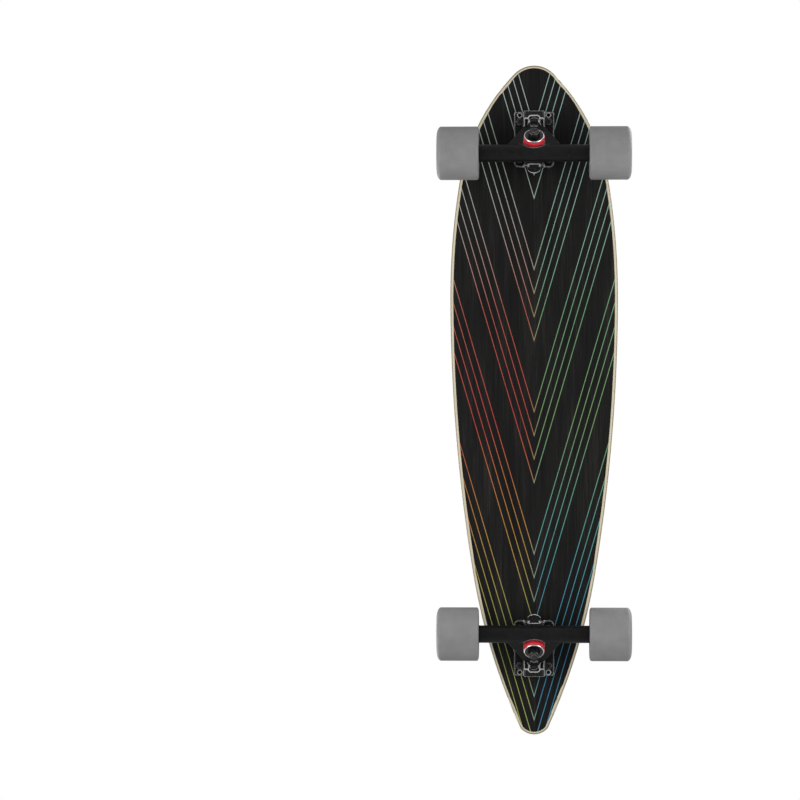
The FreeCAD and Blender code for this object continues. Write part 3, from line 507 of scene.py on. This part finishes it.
def axle_nut_places(end):
    """The same for a truck's two axle nuts, which face outwards."""
    axle = axle_centre(end)
    places = []
    for side in BOTH_WAYS:
        facing = Matrix.Rotation(side * math.pi / 2.0, 4, "Y")
        places.append(Matrix.Translation((side * AXLE_NUT_END, axle.y, axle.z)) @ facing)
    return places


def add_repeated(name, make, places, finishes, slot, body):
    """One piece from a shape that is made anew at each of its places."""
    whole = bmesh.new()
    for place in places:
        single = make()
        bmesh.ops.transform(single, matrix=place, verts=single.verts[:])
        copy = bpy.data.meshes.new("copy")
        single.to_mesh(copy)
        single.free()
        whole.from_mesh(copy)
        bpy.data.meshes.remove(copy)
    piece = add_piece(name, whole, [finishes[slot]])
    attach(piece, body)


def add_nut_details(end, finishes):
    """Nylon inserts in the lock nuts of one truck, and the threads that come out of them."""
    nylon = "pivot_cup_urethane"
    black = "black_steel"
    bolts = bolt_nut_places(end)
    kingpin = [kingpin_nut_place(end)]
    axle_ends = axle_nut_places(end)
    bolt_insert = partial(lock_insert, BOLT_RADIUS, BOLT_INSERT_RADIUS)
    bolt_thread = partial(thread, BOLT_RADIUS, BOLT_NUT_END - BOLT_TIP)
    kingpin_insert = partial(lock_insert, KINGPIN_RADIUS, KINGPIN_INSERT_RADIUS)
    kingpin_thread = partial(thread, KINGPIN_RADIUS, KINGPIN_TIP - KINGPIN_NUT_END)
    axle_insert = partial(lock_insert, AXLE_RADIUS, AXLE_INSERT_RADIUS)
    add_repeated(f"{end}_bolt_nut_inserts", bolt_insert, bolts, finishes, nylon, "deck")
    add_repeated(f"{end}_bolt_threads", bolt_thread, bolts, finishes, black, "deck")
    add_repeated(f"{end}_kingpin_nut_insert", kingpin_insert, kingpin, finishes, nylon, "deck")
    add_repeated(f"{end}_kingpin_thread", kingpin_thread, kingpin, finishes, black, "deck")
    add_repeated(f"{end}_axle_nut_inserts", axle_insert, axle_ends, finishes, nylon, f"{end}_hanger")


def printed_lines(tree):
    """Where the printed chevron stripes are, and their ink: warm on one side and cool on the other."""
    x, y, _ = split(tree, object_place(tree))
    across = calc(tree, "ABSOLUTE", x)
    along = calc(tree, "MULTIPLY_ADD", across, CHEVRON_SLOPE, y)
    in_period = calc(tree, "FLOORED_MODULO", along, CHEVRON_PERIOD)
    in_line = calc(tree, "FLOORED_MODULO", in_period, LINE_SPACING)
    from_line = calc(tree, "ABSOLUTE", calc(tree, "SUBTRACT", in_line, LINE_SPACING / 2.0))
    half = LINE_WIDTH / 2.0 * math.sqrt(1.0 + CHEVRON_SLOPE**2)
    on_line = rise(tree, from_line, half + LINE_EDGE, half - LINE_EDGE)
    in_group = calc(tree, "LESS_THAN", in_period, CHEVRON_LINES * LINE_SPACING)
    mask = calc(tree, "MULTIPLY", on_line, in_group)
    to_tail = rise(tree, y, -PRINT_HALF_LENGTH, PRINT_HALF_LENGTH)
    warm = colours_along(tree, to_tail, WARM_INKS)
    cool = colours_along(tree, to_tail, COOL_INKS)
    to_left = rise(tree, x, -INK_CHANGE_HALF, INK_CHANGE_HALF)
    return mask, mixed(tree, to_left, warm, cool)


def height_in_deck(tree, x, z):
    """Height above the deck's underside, whose rails curve up beside the flat strip."""
    out = calc(tree, "MAXIMUM", calc(tree, "SUBTRACT", calc(tree, "ABSOLUTE", x), FLAT_HALF), 0.0)
    square = calc(tree, "SUBTRACT", CONCAVE_RADIUS**2, calc(tree, "POWER", out, 2.0))
    lift = calc(tree, "SUBTRACT", CONCAVE_RADIUS, calc(tree, "SQRT", square))
    return calc(tree, "SUBTRACT", calc(tree, "SUBTRACT", z, DECK_BOTTOM), lift)


def ply_colour(tree):
    """Edge of the pressed plies: bands of long and cross grain with thin glue lines, the cross-grain bands
    darkened partly as painted shade. Also gives the grain.
    """
    grain_along = 0.6
    grain_across = 40.0
    glue_strength = 0.45
    glue = (0.16, 0.10, 0.055, 1.0)
    pale = [(0.3, (0.525, 0.470, 0.340, 1.0)), (0.7, (0.615, 0.555, 0.415, 1.0))]
    # The cross grain is darker than the wood alone, partly as painted shade of the rim's sideways-facing
    # edge.
    dark_cross_grain_and_shade = [(0.3, (0.195, 0.158, 0.105, 1.0)), (0.7, (0.245, 0.202, 0.138, 1.0))]
    x, y, z = split(tree, object_place(tree))
    height = height_in_deck(tree, x, z)
    plies = calc(tree, "ADD", calc(tree, "DIVIDE", calc(tree, "SUBTRACT", height, VENEER), PLY), 1.0)
    odd = calc(tree, "FLOORED_MODULO", calc(tree, "FLOOR", plies), 2.0)
    sheet = add_node(tree, "ShaderNodeCombineXYZ")
    feed(tree, calc(tree, "MULTIPLY", y, grain_along), sheet.inputs["Y"])
    feed(tree, calc(tree, "MULTIPLY", height, grain_across), sheet.inputs["Z"])
    grain = noise(tree, sheet.outputs[0], scale=30.0, detail=4.0, roughness=0.55)
    bands = mixed(tree, odd, colours_along(tree, grain, pale), colours_along(tree, grain, dark_cross_grain_and_shade))
    from_middle = calc(tree, "ABSOLUTE", calc(tree, "SUBTRACT", calc(tree, "FRACT", plies), 0.5))
    at_seam = rise(tree, from_middle, low=0.38, high=0.48)
    return mixed(tree, calc(tree, "MULTIPLY", at_seam, glue_strength), bands, glue), grain


def maple_finish():
    """Lacquered maple plies."""
    material, tree, shader = new_finish("maple_plies", Roughness=0.42)
    colour, grain = ply_colour(tree)
    feed(tree, colour, shader.inputs["Base Color"])
    feed(tree, bumped(tree, grain, strength=0.15, distance=0.0003), shader.inputs["Normal"])
    return material


def stained_finish():
    """Black-stained underside with printed lines, left as bare plies where the edge is rounded over."""
    fine_share = 0.55
    pore_shade = 0.7
    pore_depth = -0.6
    tones = [
        (0.30, (0.0042, 0.0040, 0.0040, 1.0)),
        (0.52, (0.0105, 0.0100, 0.0098, 1.0)),
        (0.72, (0.028, 0.026, 0.024, 1.0)),
    ]
    material, tree, shader = new_finish("stained_veneer", Specular_IOR_Level=0.07)
    fine = noise(tree, stretched(tree, (1.0, 0.022, 1.0)), scale=620.0, detail=4.0, roughness=0.65)
    broad = noise(tree, stretched(tree, (1.0, 0.10, 1.0)), scale=46.0, detail=4.0, roughness=0.6)
    specks = noise(tree, stretched(tree, (1.0, 0.05, 1.0)), scale=1500.0, detail=2.0)
    pores = rise(tree, specks, low=0.60, high=0.70)
    figure = calc(tree, "MULTIPLY_ADD", fine, fine_share, calc(tree, "MULTIPLY", broad, 1.0 - fine_share))
    stain = colours_along(tree, figure, tones)
    stain = mixed(tree, calc(tree, "MULTIPLY", pores, pore_shade), stain, grey(0.003))
    mask, ink = printed_lines(tree)
    worn = calc(tree, "MULTIPLY", mask, rise(tree, fine, low=0.28, high=0.45, to_low=0.45, to_high=0.9))
    face = mixed(tree, worn, stain, ink)
    plies, _ = ply_colour(tree)
    normal = add_node(tree, "ShaderNodeTexCoord").outputs["Normal"]
    on_edge = rise(tree, split(tree, normal)["Z"], low=-0.985, high=-0.972)
    feed(tree, mixed(tree, on_edge, face, plies), shader.inputs["Base Color"])
    gloss = rise(tree, fine, low=0.25, high=0.75, to_low=0.62, to_high=0.42)
    feed(tree, gloss, shader.inputs["Roughness"])
    height = calc(tree, "MULTIPLY_ADD", pores, pore_depth, fine)
    feed(tree, bumped(tree, height, strength=0.22, distance=0.0003), shader.inputs["Normal"])
    return material


def grip_finish():
    """Grip tape: black sheet with a coat of angular grit, printed with the same lines."""
    tones = [
        (0.0, grey(0.006)),
        (0.55, grey(0.016)),
        (0.82, grey(0.045)),
        (0.96, grey(0.16)),
        (1.0, grey(0.30)),
    ]
    material, tree, shader = new_finish("grip_sheet", Roughness=0.86, Specular_IOR_Level=0.35)
    place = object_place(tree)
    grains = cells(tree, place, scale=820.0)
    coarse = cells(tree, place, scale=390.0)
    base = colours_along(tree, split(tree, grains["Color"])[0], tones)
    cloud = noise(tree, place, scale=60.0, detail=3.0)
    patches = rise(tree, cloud, low=0.3, high=0.7, to_low=0.75, to_high=1.1)
    base = mixed(tree, patches, grey(0.008), base)
    mask, ink = printed_lines(tree)
    kept_ink = rise(tree, split(tree, coarse["Color"])[1], low=0.1, high=0.5, to_low=0.55, to_high=0.9)
    broken = calc(tree, "MULTIPLY", mask, kept_ink)
    feed(tree, mixed(tree, broken, base, ink), shader.inputs["Base Color"])
    height = calc(tree, "ADD", grains["Distance"], coarse["Distance"])
    feed(tree, bumped(tree, height, strength=0.7, distance=0.0006), shader.inputs["Normal"])
    return material


def edge_wear_and_highlight(tree, radius):
    """Share of edge wear and painted highlight, high along the sharp edges of a solid."""
    softened = add_node(tree, "ShaderNodeBevel", samples=6)
    softened.inputs["Radius"].default_value = radius
    sharp = add_node(tree, "ShaderNodeNewGeometry")
    likeness = add_node(tree, "ShaderNodeVectorMath", operation="DOT_PRODUCT")
    feed(tree, softened.outputs[0], likeness.inputs[0])
    feed(tree, sharp.outputs["Normal"], likeness.inputs[1])
    return rise(tree, likeness.outputs["Value"], low=0.985, high=0.86)


def casting_finish(name, wear_and_highlight_radius, bared_and_highlight_grey):
    """Black satin coating on cast metal, with a faint skin and edges painted a light grey, partly as wear and
    partly as painted highlight.
    """
    tones = [(0.3, (0.0040, 0.0038, 0.0040, 1.0)), (0.75, (0.009, 0.0085, 0.009, 1.0))]
    material, tree, shader = new_finish(name, Specular_IOR_Level=0.15)
    place = object_place(tree)
    mottle = noise(tree, place, scale=140.0, detail=5.0, roughness=0.6)
    skin = noise(tree, place, scale=1900.0, detail=2.0)
    uneven = rise(tree, mottle, low=0.2, high=0.6, to_low=0.5, to_high=1.0)
    # The grey along the edges is partly wear and partly a painted highlight where the chamfers would catch
    # the light.
    rubbed_and_highlit = calc(tree, "MULTIPLY", edge_wear_and_highlight(tree, wear_and_highlight_radius), uneven)
    colour = mixed(tree, rubbed_and_highlit, colours_along(tree, mottle, tones), grey(bared_and_highlight_grey))
    feed(tree, colour, shader.inputs["Base Color"])
    gloss = rise(tree, mottle, low=0.25, high=0.75, to_low=0.33, to_high=0.47)
    feed(tree, gloss, shader.inputs["Roughness"])
    feed(tree, bumped(tree, skin, strength=0.18, distance=0.0002), shader.inputs["Normal"])
    return material


def black_steel_finish():
    """Black oxide on steel, bright along the edges, partly as wear and partly as painted highlight."""
    wear_and_highlight_radius = 0.0008
    wear_and_highlight_share = 0.8
    tones = [(0.3, grey(0.035)), (0.7, grey(0.07))]
    material, tree, shader = new_finish("black_steel", Metallic=1.0)
    mottle = noise(tree, object_place(tree), scale=260.0, detail=4.0, roughness=0.6)
    # Bright edges: partly wear, partly painted highlight.
    rubbed_and_highlit = calc(tree, "MULTIPLY", edge_wear_and_highlight(tree, wear_and_highlight_radius), wear_and_highlight_share)
    colour = mixed(tree, rubbed_and_highlit, colours_along(tree, mottle, tones), grey(0.45))
    feed(tree, colour, shader.inputs["Base Color"])
    gloss = rise(tree, mottle, low=0.25, high=0.75, to_low=0.28, to_high=0.45)
    feed(tree, gloss, shader.inputs["Roughness"])
    return material


def bolt_finish():
    """Black coated bolts, darker than the grip round their heads."""
    tones = [(0.3, grey(0.0035)), (0.7, grey(0.007))]
    material, tree, shader = new_finish("coated_bolts", Specular_IOR_Level=0.3)
    mottle = noise(tree, object_place(tree), scale=600.0, detail=3.0)
    feed(tree, colours_along(tree, mottle, tones), shader.inputs["Base Color"])
    gloss = rise(tree, mottle, low=0.25, high=0.75, to_low=0.38, to_high=0.55)
    feed(tree, gloss, shader.inputs["Roughness"])
    return material


def steel_finish(name, dark_cross_grain_and_shade, light, rough_low, rough_high, turned_scale):
    """Bright steel with fine turning marks round the axle."""
    material, tree, shader = new_finish(name, Metallic=1.0)
    marks = noise(tree, stretched(tree, (1.0, 0.06, 0.06)), turned_scale, detail=3.0)
    mottle = noise(tree, object_place(tree), scale=190.0, detail=4.0, roughness=0.6)
    tones = [(0.3, grey(dark_cross_grain_and_shade)), (0.7, grey(light))]
    feed(tree, colours_along(tree, mottle, tones), shader.inputs["Base Color"])
    gloss = rise(tree, marks, low=0.3, high=0.7, to_low=rough_low, to_high=rough_high)
    feed(tree, gloss, shader.inputs["Roughness"])
    feed(tree, bumped(tree, marks, strength=0.08, distance=0.0002), shader.inputs["Normal"])
    return material


def urethane_finish(name, dark_cross_grain_and_shade, light, rough_low, rough_high, skin_scale, subsurface):
    """Cast urethane: slightly cloudy, with a fine moulded skin."""
    material, tree, shader = new_finish(name, Specular_IOR_Level=0.4, Subsurface_Weight=subsurface)
    shader.inputs["Subsurface Scale"].default_value = 0.006
    shader.inputs["Subsurface Radius"].default_value = (1.0, 0.6, 0.5)
    place = object_place(tree)
    cloud = noise(tree, place, scale=55.0, detail=4.0, roughness=0.55)
    skin = noise(tree, place, skin_scale, detail=3.0, roughness=0.6)
    tones = [(0.3, dark_cross_grain_and_shade), (0.7, light)]
    feed(tree, colours_along(tree, cloud, tones), shader.inputs["Base Color"])
    gloss = rise(tree, skin, low=0.3, high=0.7, to_low=rough_low, to_high=rough_high)
    feed(tree, gloss, shader.inputs["Roughness"])
    feed(tree, bumped(tree, skin, strength=0.12, distance=0.0003), shader.inputs["Normal"])
    return material


def core_finish():
    """Moulded plastic of the wheels' hub cores."""
    tones = [(0.3, grey(0.055)), (0.7, grey(0.075))]
    material, tree, shader = new_finish("wheel_core_plastic", Specular_IOR_Level=0.4)
    skin = noise(tree, object_place(tree), scale=900.0, detail=3.0)
    feed(tree, colours_along(tree, skin, tones), shader.inputs["Base Color"])
    gloss = rise(tree, skin, low=0.3, high=0.7, to_low=0.45, to_high=0.6)
    feed(tree, gloss, shader.inputs["Roughness"])
    feed(tree, bumped(tree, skin, strength=0.1, distance=0.0002), shader.inputs["Normal"])
    return material


def steel_finishes():
    """The bright steels, by material slot."""
    return {
        "washer_steel": steel_finish(
            "washer_steel", dark_cross_grain_and_shade=0.62, light=0.74, rough_low=0.20, rough_high=0.32, turned_scale=2400.0
        ),
        "axle_steel": steel_finish(
            "axle_steel", dark_cross_grain_and_shade=0.42, light=0.56, rough_low=0.22, rough_high=0.38, turned_scale=2600.0
        ),
        "bearing_steel": steel_finish(
            "bearing_steel", dark_cross_grain_and_shade=0.50, light=0.62, rough_low=0.12, rough_high=0.25, turned_scale=3000.0
        ),
        "shield_steel": steel_finish(
            "shield_steel", dark_cross_grain_and_shade=0.36, light=0.46, rough_low=0.25, rough_high=0.4, turned_scale=1800.0
        ),
    }


def urethane_finishes():
    """The urethanes, by material slot. That of the pivot cups also serves for the nylon inserts."""
    return {
        "bushing_urethane": urethane_finish(
            "bushing_urethane",
            dark_cross_grain_and_shade=(0.95, 0.040, 0.062, 1.0),
            light=(1.0, 0.060, 0.088, 1.0),
            rough_low=0.26,
            rough_high=0.40,
            skin_scale=700.0,
            subsurface=0.6,
        ),
        "pivot_cup_urethane": urethane_finish(
            "pivot_cup_urethane",
            dark_cross_grain_and_shade=grey(0.018),
            light=grey(0.03),
            rough_low=0.4,
            rough_high=0.55,
            skin_scale=700.0,
            subsurface=0.0,
        ),
        "wheel_urethane": urethane_finish(
            "wheel_urethane",
            dark_cross_grain_and_shade=grey(0.192),
            light=grey(0.226),
            rough_low=0.46,
            rough_high=0.60,
            skin_scale=850.0,
            subsurface=0.08,
        ),
    }


def dress_nodes():
    """Gives every solid its finish, by the record's material slots or, for a few nodes, one of their own."""
    finishes = {
        "maple_plies": maple_finish(),
        "stained_veneer": stained_finish(),
        "grip_sheet": grip_finish(),
        "truck_casting": casting_finish("truck_casting", wear_and_highlight_radius=0.0022, bared_and_highlight_grey=0.36),
        "black_steel": black_steel_finish(),
        "wheel_core_plastic": core_finish(),
        **steel_finishes(),
        **urethane_finishes(),
    }
    # The baseplates' edges get a wider, brighter grey: mostly painted highlight, partly wear.
    plate_casting = casting_finish("plate_casting", wear_and_highlight_radius=0.0036, bared_and_highlight_grey=0.85)
    own_finishes = {
        "deck_bolts": bolt_finish(),
        "front_baseplate": plate_casting,
        "rear_baseplate": plate_casting,
    }
    for entry in frame["record"]["subparts"]:
        node = entry["node"]
        slots = frame["nodes"][node].data.materials
        slots.clear()
        slots.append(own_finishes.get(node, finishes[entry["material_slot"]]))
    return finishes


def softbox(name, place, width, height, power):
    """Lamp that shines at the board and isn't seen itself."""
    lamp = bpy.data.lights.new(name, "AREA")
    lamp.shape = "RECTANGLE"
    lamp.size = width
    lamp.size_y = height
    lamp.energy = power
    holder = bpy.data.objects.new(name, lamp)
    holder.location = place
    holder.rotation_euler = (Vector(LIGHT_TARGET) - Vector(place)).to_track_quat("-Z", "Y").to_euler()
    holder.visible_camera = False
    bpy.context.scene.collection.objects.link(holder)


def light_studio():
    """Soft boxes above and below the board, in a glowing surround that the camera sees as white."""
    softbox("key_box", place=(1.6, -1.4, 2.4), width=1.8, height=1.8, power=40.0)
    softbox("fill_box", place=(-1.8, 0.8, 2.0), width=1.6, height=1.6, power=16.0)
    softbox("under_left_box", place=(2.2, -0.1, -1.3), width=1.2, height=2.2, power=35.0)
    softbox("under_right_box", place=(-2.2, -0.1, -1.3), width=1.2, height=2.2, power=35.0)
    world = bpy.data.worlds.new("surround")
    bpy.context.scene.world = world
    world.use_nodes = True
    tree = world.node_tree
    backdrop = tree.nodes["Background"]
    backdrop.inputs["Color"].default_value = grey(1.0)
    height = split(tree, add_node(tree, "ShaderNodeTexCoord").outputs["Generated"])["Z"]
    below = rise(tree, height, low=-0.98, high=-0.40, to_low=0.50, to_high=0.74)
    above = rise(tree, height, low=-0.10, high=0.50, to_low=0.0, to_high=0.27)
    glow = calc(tree, "SUBTRACT", below, above)
    path = add_node(tree, "ShaderNodeLightPath")
    feed(tree, calc(tree, "MAXIMUM", path.outputs["Is Camera Ray"], glow), backdrop.inputs["Strength"])


def floor_finish():
    """Pale paint that glows more and more towards the far edges, and clear seen from its back."""
    material, tree, shader = new_finish("floor_paint", Roughness=0.8)
    shader.inputs["Base Color"].default_value = grey(0.8)
    shader.inputs["Emission Color"].default_value = grey(1.0)
    away = add_node(tree, "ShaderNodeVectorMath", operation="LENGTH")
    feed(tree, object_place(tree), away.inputs[0])
    glow = rise(tree, away.outputs["Value"], low=0.8, high=7.0, to_low=0.10, to_high=0.60)
    feed(tree, glow, shader.inputs["Emission Strength"])
    clear = add_node(tree, "ShaderNodeBsdfTransparent")
    either = add_node(tree, "ShaderNodeMixShader")
    faces = add_node(tree, "ShaderNodeNewGeometry")
    feed(tree, faces.outputs["Backfacing"], either.inputs[0])
    feed(tree, shader.outputs[0], either.inputs[1])
    feed(tree, clear.outputs[0], either.inputs[2])
    feed(tree, either.outputs[0], tree.nodes["Material Output"].inputs["Surface"])
    return material


def lay_floor():
    """Pale floor, seen from above only, so that the picture from below looks through it."""
    mesh = bpy.data.meshes.new("floor")
    shape = bmesh.new()
    bmesh.ops.create_grid(shape, x_segments=1, y_segments=1, size=FLOOR_HALF)
    shape.to_mesh(mesh)
    shape.free()
    mesh.materials.append(floor_finish())
    floor = bpy.data.objects.new("floor", mesh)
    bpy.context.scene.collection.objects.link(floor)
    floor.visible_diffuse = False
    floor.visible_glossy = False
    floor.visible_transmission = False
    floor.visible_shadow = False


def place_camera():
    """Long lens straight below the deck, turned aside so that the board stands right of the middle."""
    focal_pixels = BOARD_PIXELS_PER_METRE * CAMERA_BELOW_DECK
    aside = math.atan((BOARD_X - IMAGE_SIZE / 2.0) / focal_pixels)
    lens = bpy.data.cameras.new("camera")
    lens.sensor_width = SENSOR
    lens.lens = focal_pixels / IMAGE_SIZE * SENSOR
    lens.clip_end = CAMERA_REACH
    camera = bpy.data.objects.new("camera", lens)
    right = Vector((math.cos(aside), 0.0, math.sin(aside)))
    up = Vector((0.0, -1.0, 0.0))
    back = right.cross(up)
    turn = Matrix((right, up, back)).transposed().to_4x4()
    camera.matrix_world = Matrix.Translation((0.0, 0.0, DECK_BOTTOM - CAMERA_BELOW_DECK)) @ turn
    bpy.context.scene.collection.objects.link(camera)
    bpy.context.scene.camera = camera


finishes = dress_nodes()
red = finishes["bushing_urethane"]
for end in ENDS:
    add_bushing(end, "boardside", BOARDSIDE_FLANK, BOARDSIDE_END, TO_BOARD, red)
    add_bushing(end, "roadside", ROADSIDE_FLANK, ROADSIDE_END, TO_ROAD, red)
    # The washer's face gets black steel as a painted dark reflection.
    add_roadside_washer(end, finishes["washer_steel"], finishes["black_steel"])
    add_nut_details(end, finishes)
    for side in SIDES:
        add_tyre(end, side, finishes["wheel_urethane"])
light_studio()
lay_floor()
place_camera()
bpy.context.scene.view_settings.view_transform = "Standard"
